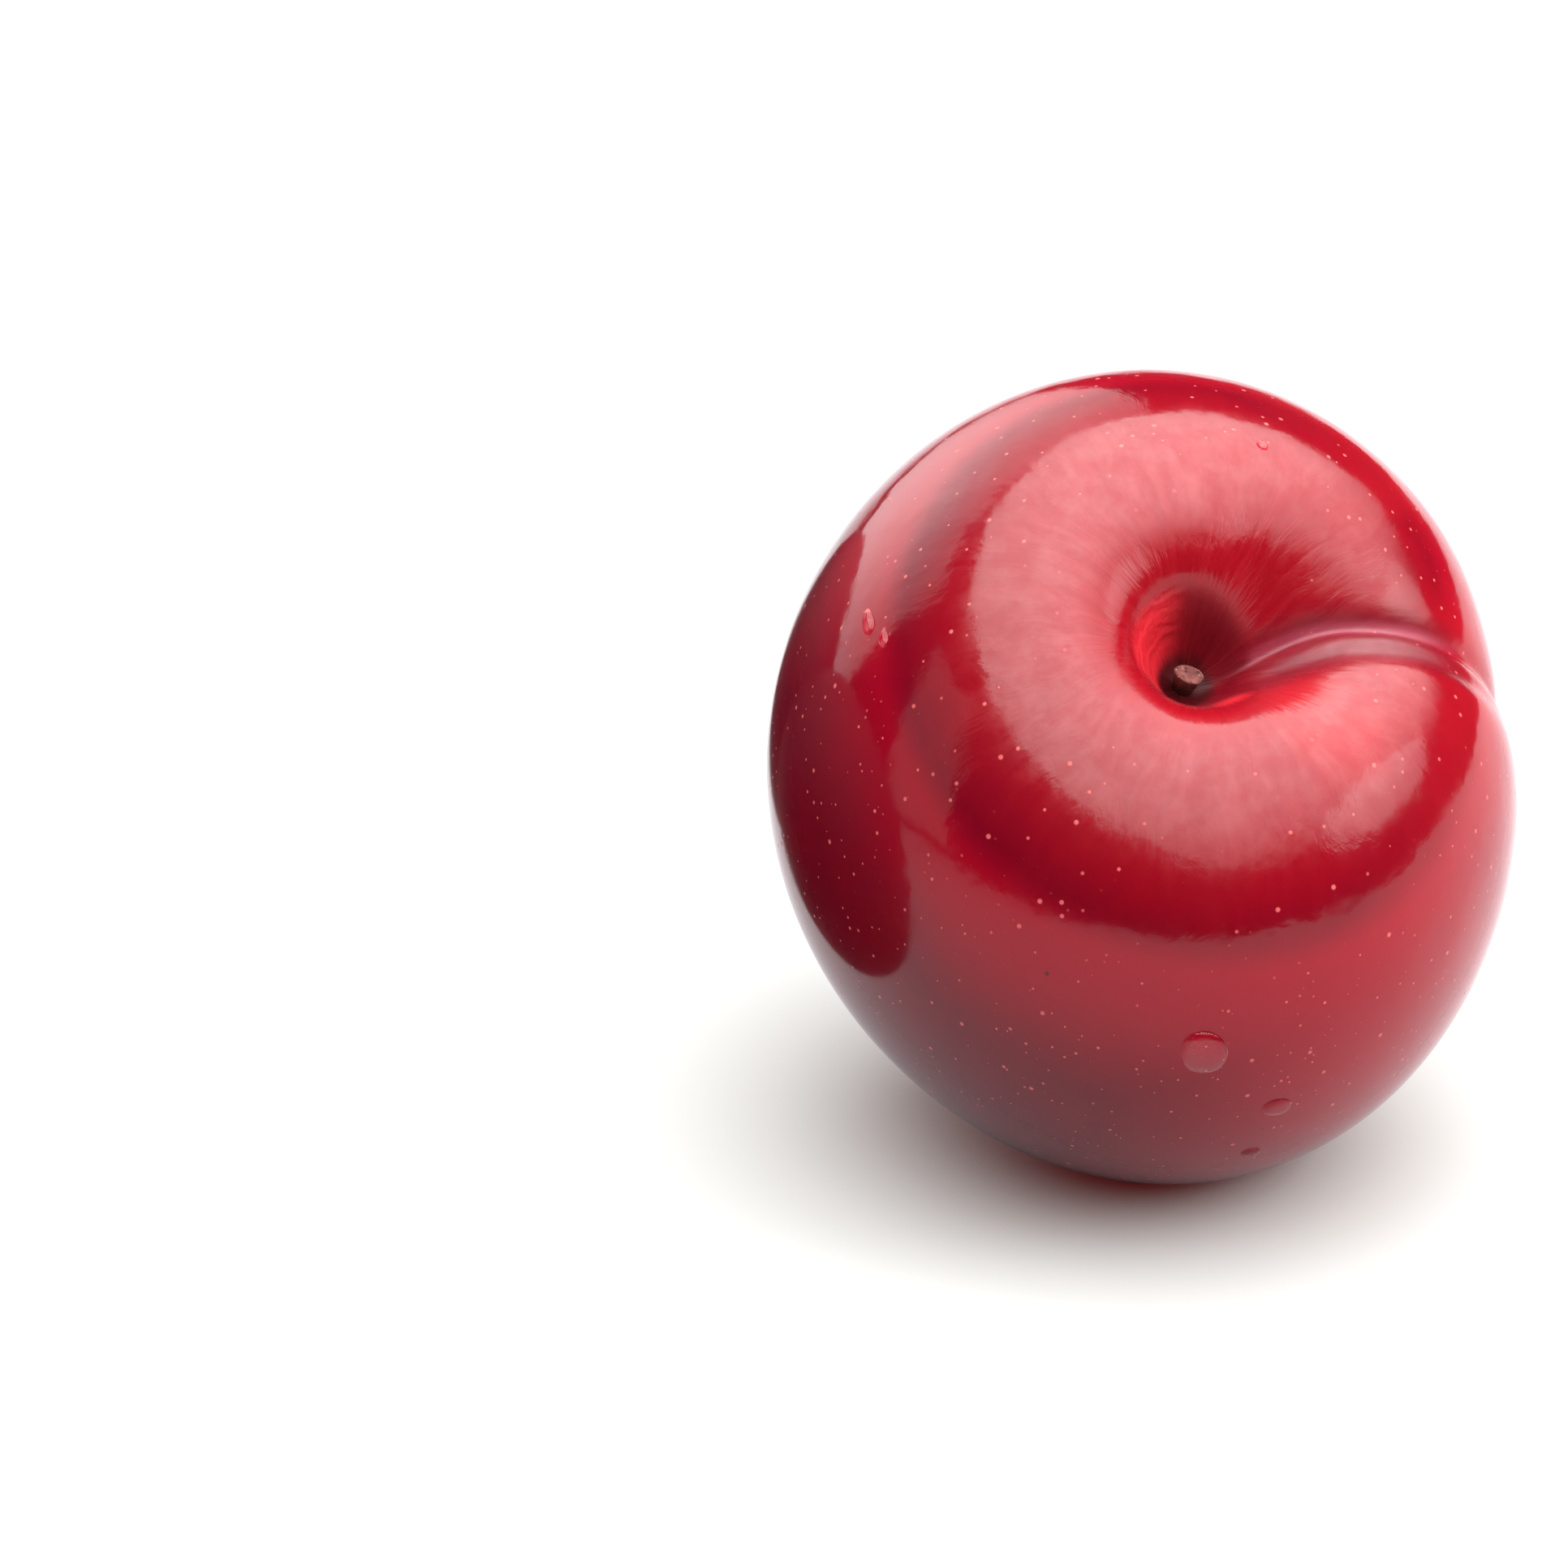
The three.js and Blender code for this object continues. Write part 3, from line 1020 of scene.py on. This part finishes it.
@dataclass
class StemStub:
    """What is left of the stem: a short, oval, worn peg standing on the floor of the pit."""

    width: float = 2.6
    thickness: float = 1.6
    length: float = 2.2
    root: float = 0.9
    rim: float = 0.22
    rim_steps: int = 4
    rings: int = 5
    sides: int = 48
    turn: float = -26.0
    foot_width: float = 0.62
    waist: Step = (0.3, 0.9)
    unevenness: float = 0.13
    lumps: float = 1.3
    lump_length: float = 0.4
    end_from: float = 0.9
    dish_depth: float = 0.22
    dish_unevenness: float = 0.1

    def build(self, pose: Matrix) -> bpy.types.Object:
        """Builds the stub where the CAD stub stands, with its root let into the pit's floor.

        Args:
            pose: The fruit's own frame, in millimetres, to the row's frame.

        Returns:
            The stub.
        """
        low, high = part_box("stem_stub")
        foot = (pose.inverted() @ ((low + high) / 2)).y - self.length / 2 - self.root
        mesh = bmesh.new()
        bmesh.ops.create_circle(mesh, cap_ends=True, segments=self.sides, radius=self.width / 2)
        side = self.raise_side(mesh)
        bmesh.ops.bevel(
            mesh,
            geom=side,
            offset=self.rim,
            segments=self.rim_steps,
            profile=0.5,
            affect="EDGES",
            material=-1,
        )
        top = max(mesh.faces, key=lambda face: face.calc_center_median().z)
        ring_width = self.width / 2 / (self.rings + 2)
        for _ in range(self.rings):
            bmesh.ops.inset_region(mesh, faces=[top], thickness=ring_width)
        for vertex in mesh.verts:
            vertex.co = self.weather(vertex.co)
        bmesh.ops.recalc_face_normals(mesh, faces=mesh.faces)
        upright = Matrix.Translation((0, foot, 0)) @ Matrix.Rotation(radians(-90), 4, "X")
        turned = upright @ Matrix.Rotation(radians(self.turn), 4, "Z")
        bmesh.ops.transform(mesh, matrix=pose @ turned, verts=mesh.verts)
        return finished("worn_stem", mesh, "stem_stub")

    def raise_side(self, mesh: bmesh.types.BMesh) -> list[bmesh.types.BMEdge]:
        """Extrudes the disc upwards.

        Args:
            mesh: A mesh that holds the disc.

        Returns:
            The edges round the top.
        """
        extruded = bmesh.ops.extrude_face_region(mesh, geom=list(mesh.faces))["geom"]
        raised = [item for item in extruded if isinstance(item, bmesh.types.BMVert)]
        bmesh.ops.translate(mesh, vec=(0, 0, self.length + self.root), verts=raised)
        return [item for item in extruded if isinstance(item, bmesh.types.BMEdge)]

    def weather(self, point: Vector) -> Vector:
        """Wears a point of the plain peg: a narrow foot, a dished end and a ragged oval outline.

        Args:
            point: The point, with +Z up the stem.

        Returns:
            The worn point.
        """
        share = point.z / (self.length + self.root)
        waist = self.foot_width + (1 - self.foot_width) * rise(share, *self.waist)
        uneven = noise.noise(Vector((point.x, point.y, self.lump_length * point.z)) * self.lumps)
        reach = 2 * hypot(point.x, point.y) / self.width
        dish = 0.0
        if share > self.end_from:
            dish = self.dish_depth * (1 - reach**2) + self.dish_unevenness * uneven
        girth = waist * (1 + self.unevenness * uneven)
        oval = self.thickness / self.width
        return Vector((point.x * girth, point.y * girth * oval, point.z - dish))


@dataclass(frozen=True)
class Drop:
    """A drop of water: where it clings, seen from the fruit's middle in degrees, and its size.

    Azimuth 0 faces -Y and 90 faces +X. A tapered drop is narrower at its upper end.
    """

    azimuth: float
    elevation: float
    width: float
    length: float
    height: float
    turn: float = 0.0
    taper: float = 0.0


@dataclass
class WaterDrops:
    """The drops left on the skin after a rinse."""

    drops: tuple[Drop, ...] = (
        Drop(-6.5, -16.0, 3.9, 4.4, 0.72, turn=20.0, taper=0.1),
        Drop(6.0, -28.0, 2.6, 2.2, 0.45, turn=-25.0),
        Drop(5.0, -40.0, 1.9, 1.5, 0.3, turn=-25.0),
        Drop(-80.5, 36.5, 1.5, 2.6, 0.5, turn=50.0, taper=0.5),
        Drop(-74.0, 36.0, 1.1, 1.9, 0.4, turn=35.0, taper=0.5),
        Drop(76.0, 72.5, 0.9, 1.1, 0.35),
    )
    segments: int = 32
    sink: float = 0.25
    flatness: float = 0.7
    taper_along: Step = (-0.6, 1.0)
    unevenness: float = 0.05
    lumps: float = 1.2

    def build(self, fruit: bpy.types.Object) -> bpy.types.Object:
        """Builds every drop on the fruit's skin.

        Args:
            fruit: The finished fruit.

        Returns:
            One piece that holds all the drops.
        """
        skin = BVHTree.FromObject(fruit, bpy.context.evaluated_depsgraph_get())
        low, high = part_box("fruit")
        mesh = bmesh.new()
        for drop in self.drops:
            self.add(mesh, drop, self.seat(drop, skin, (low + high) / 2))
        return finished("water_drops", mesh, None)

    def seat(self, drop: Drop, skin: BVHTree, middle: Vector) -> Matrix:
        """Where a drop sits: its own frame, in millimetres, to the row's frame.

        Args:
            drop: The drop.
            skin: The fruit's skin.
            middle: The fruit's middle.

        Returns:
            A frame with +Z out of the skin and +Y up the slope.
        """
        outwards = heading(drop.azimuth, drop.elevation)
        at, normal, _, _ = skin.ray_cast(middle + outwards, -outwards)
        along = Vector((0, 0, 1)).cross(normal).normalized()
        axes = Matrix((along, normal.cross(along), normal)).transposed().to_4x4()
        turned = axes @ Matrix.Rotation(radians(drop.turn), 4, "Z")
        return Matrix.Translation(at) @ turned @ Matrix.Scale(MM, 4)

    def add(self, mesh: bmesh.types.BMesh, drop: Drop, seat: Matrix) -> None:
        """Adds one drop: a dome with a flat underside just below the skin.

        Args:
            mesh: The mesh that gets the drop.
            drop: The drop.
            seat: Where it sits.
        """
        made = bmesh.ops.create_uvsphere(
            mesh, u_segments=self.segments, v_segments=self.segments // 2, radius=1
        )
        own = Vector((drop.azimuth, drop.elevation, 0))
        for vertex in made["verts"]:
            x, y, z = vertex.co
            narrow = 1 - drop.taper * rise(y, *self.taper_along)
            uneven = 1 + self.unevenness * noise.noise(vertex.co * self.lumps + own)
            dome = self.flatness * z * z + (1 - self.flatness) * z
            lift = dome * drop.height if z > 0 else z * self.sink
            width = x * narrow * uneven * drop.width / 2
            length = y * uneven * drop.length / 2
            vertex.co = seat @ Vector((width, length, lift))


def placed(name: str, mesh: bmesh.types.BMesh) -> bpy.types.Object:
    """Turns a mesh into an object of the scene.

    Args:
        name: The object's name.
        mesh: Its mesh, in the row's frame.

    Returns:
        The object.
    """
    data = bpy.data.meshes.new(name)
    mesh.to_mesh(data)
    mesh.free()
    made = bpy.data.objects.new(name, data)
    bpy.context.scene.collection.objects.link(made)
    return made


def finished(
    name: str, mesh: bmesh.types.BMesh, node: str | None
) -> bpy.types.Object:
    """Turns a mesh into a piece of the plum.

    Args:
        name: The piece's name.
        mesh: Its mesh, in the row's frame.
        node: The CAD node that it stands for, if any.

    Returns:
        The piece.
    """
    piece = placed(name, mesh)
    piece.data.shade_smooth()
    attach(piece, BODY)
    if node:
        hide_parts(node)
    log.info("%s: %d faces", name, len(piece.data.polygons))
    return piece


# ---- The studio ----

PLUM_MIDDLE: Point = (0.0, 0.0, 0.03)


class LampShape(Enum):
    """The outlines a softbox can have."""

    OBLONG = "RECTANGLE"
    OVAL = "ELLIPSE"


@dataclass(frozen=True)
class Softbox:
    """A flat lamp: radiance is its brightness head on, and a small spread dims it to the side.

    A lamp that isn't seen lights the plum without showing in its skin.
    """

    name: str
    radiance: float
    width: float
    length: float
    place: Point
    target: Point
    shape: LampShape = LampShape.OBLONG
    spread: float = 180.0
    turn: float = 0.0
    seen: bool = True

    def build(self) -> None:
        """Adds the light."""
        data = bpy.data.lights.new(self.name, "AREA")
        data.shape = self.shape.value
        data.size = self.width
        data.size_y = self.length
        filled = pi / 4 if self.shape is LampShape.OVAL else 1.0
        data.energy = self.radiance * pi * self.width * self.length * filled
        data.spread = radians(self.spread)
        lamp = bpy.data.objects.new(self.name, data)
        lamp.visible_camera = False
        lamp.visible_glossy = self.seen
        lamp.location = self.place
        aim = Vector(self.target) - Vector(self.place)
        turned = Quaternion((0.0, 0.0, 1.0), radians(self.turn))
        lamp.rotation_euler = (aim.to_track_quat("-Z", "Y") @ turned).to_euler()
        bpy.context.scene.collection.objects.link(lamp)


@dataclass
class Studio:
    """A white table, the lamps, two dark balls that the skin reflects, and the camera."""

    azimuth: float = -13.5
    elevation: float = 25.0
    distance: float = 0.7
    view_width: float = 0.131
    sensor: float = 36.0
    aside: float = -0.0298
    above: float = -0.0007
    table_radius: float = 0.7
    table_sides: int = 128
    table_roughness: float = 0.9
    table_seen: Colour = (0.365, 0.385, 0.375)
    table_reflected: Colour = (0.36, 0.35, 0.36)
    black: Colour = (0.0, 0.0, 0.0)
    # Painted red glow on the table, seen by the camera only.
    pink_bounce_glow: Colour = (0.055, 0.0, 0.0)
    room_seen: Colour = (1.0, 1.0, 1.0)
    room_reflected: Colour = (0.03, 0.03, 0.03)
    flag_radius: float = 0.031
    flag_rings: int = 32
    flags_at: tuple[Point, ...] = ((-0.0665, 0.015, 0.021), (-0.056, 0.064, 0.03))
    flag_colour: Colour = (0.03, 0.001, 0.003)
    flag_roughness: float = 0.6
    softboxes: tuple[Softbox, ...] = (
        Softbox(
            "overhead",
            4.2,
            3.8,
            2.6,
            (1.31, -0.57, 0.6),
            (1.31, -0.57, 0.0),
            LampShape.OVAL,
            spread=142.0,
            turn=-12.0,
        ),
        Softbox(
            "right_wall", 0.8, 0.9, 0.34, (0.84, -0.41, 0.4), PLUM_MIDDLE, LampShape.OVAL, spread=80.0
        ),
        Softbox("back_left", 0.82, 1.25, 0.94, (-0.34, 0.84, 0.45), PLUM_MIDDLE, spread=90.0),
        Softbox("left_strip", 0.8, 0.34, 0.6, (-0.8, -0.03, 0.3), PLUM_MIDDLE),
        Softbox("right_fill", 6.0, 0.5, 0.5, (0.75, -0.3, 0.55), (0.03, 0.0, 0.0), seen=False),
    )

    def build(self) -> None:
        """Adds the table, the lights, the surroundings and the camera."""
        bpy.context.scene.view_settings.view_transform = "Standard"
        self.table()
        self.flag()
        self.surroundings()
        for softbox in self.softboxes:
            softbox.build()
        self.camera()

    def table(self) -> None:
        """Adds the round white table."""
        mesh = bmesh.new()
        bmesh.ops.create_circle(
            mesh, cap_ends=True, segments=self.table_sides, radius=self.table_radius
        )
        table = placed("table", mesh)
        material, graph, shader = Finish("white_table").fresh()
        seen = graph.node("ShaderNodeLightPath").outputs["Is Camera Ray"]
        graph.feed(shader.inputs["Base Color"], graph.mix(seen, self.table_reflected, self.table_seen))
        shader.inputs["Roughness"].default_value = self.table_roughness
        shader.inputs["Specular IOR Level"].default_value = 0.0
        # Painted light: the table glows faint red to the camera alone, lifting its shadows pink as if
        # lit by light thrown from the plum.
        graph.feed(shader.inputs["Emission Color"], graph.mix(seen, self.black, self.pink_bounce_glow))
        shader.inputs["Emission Strength"].default_value = 1.0
        table.data.materials.append(material)

    def flag(self) -> None:
        """Adds dark balls on the left, out of the camera's sight, which only the skin reflects."""
        mesh = bmesh.new()
        for place in self.flags_at:
            bmesh.ops.create_uvsphere(
                mesh,
                u_segments=2 * self.flag_rings,
                v_segments=self.flag_rings,
                radius=self.flag_radius,
                matrix=Matrix.Translation(place),
            )
        balls = placed("dark_flag", mesh)
        balls.visible_camera = False
        balls.visible_shadow = False
        balls.visible_diffuse = False
        material, graph, shader = Finish("dark_flag").fresh()
        graph.feed(shader.inputs["Base Color"], self.flag_colour)
        shader.inputs["Roughness"].default_value = self.flag_roughness
        balls.data.materials.append(material)

    def surroundings(self) -> None:
        """Surrounds the scene with white for the camera and near black for the light."""
        world = bpy.data.worlds.new("studio")
        bpy.context.scene.world = world
        world.use_nodes = True
        world.node_tree.nodes.clear()
        graph = Graph(world.node_tree)
        seen = graph.node("ShaderNodeLightPath").outputs["Is Camera Ray"]
        colour = graph.mix(seen, self.room_reflected, self.room_seen)
        glow = graph.node("ShaderNodeBackground", {"Color": colour})
        graph.node("ShaderNodeOutputWorld", {"Surface": glow.outputs[0]})

    def camera(self) -> None:
        """Adds the camera, aimed so that the fruit stands to one side."""
        low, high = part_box("fruit")
        middle = (low + high) / 2
        back = heading(self.azimuth, self.elevation)
        turn = back.to_track_quat("Z", "Y")
        right, up = turn @ Vector((1, 0, 0)), turn @ Vector((0, 1, 0))
        aim = middle + right * self.aside + up * self.above
        data = bpy.data.cameras.new("camera")
        data.sensor_width = self.sensor
        data.lens = self.sensor * self.distance / self.view_width
        camera = bpy.data.objects.new("camera", data)
        camera.location = aim + back * self.distance
        camera.rotation_euler = turn.to_euler()
        bpy.context.scene.collection.objects.link(camera)
        bpy.context.scene.camera = camera


def main() -> None:
    """Builds the plum and its studio."""
    logging.basicConfig(level=logging.INFO, format="%(name)s: %(message)s")
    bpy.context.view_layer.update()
    specks = speck_group()
    fruit, pose = Fruit().build()
    fruit.data.materials.append(PlumSkin().material(specks, pose))
    stub = StemStub().build(pose)
    stub.data.materials.append(StemBark().material(specks, pose))
    drops = WaterDrops().build(fruit)
    drops.data.materials.append(ClearWater().material())
    drops.visible_shadow = False
    Studio().build()


if __name__ == "__main__":
    main()
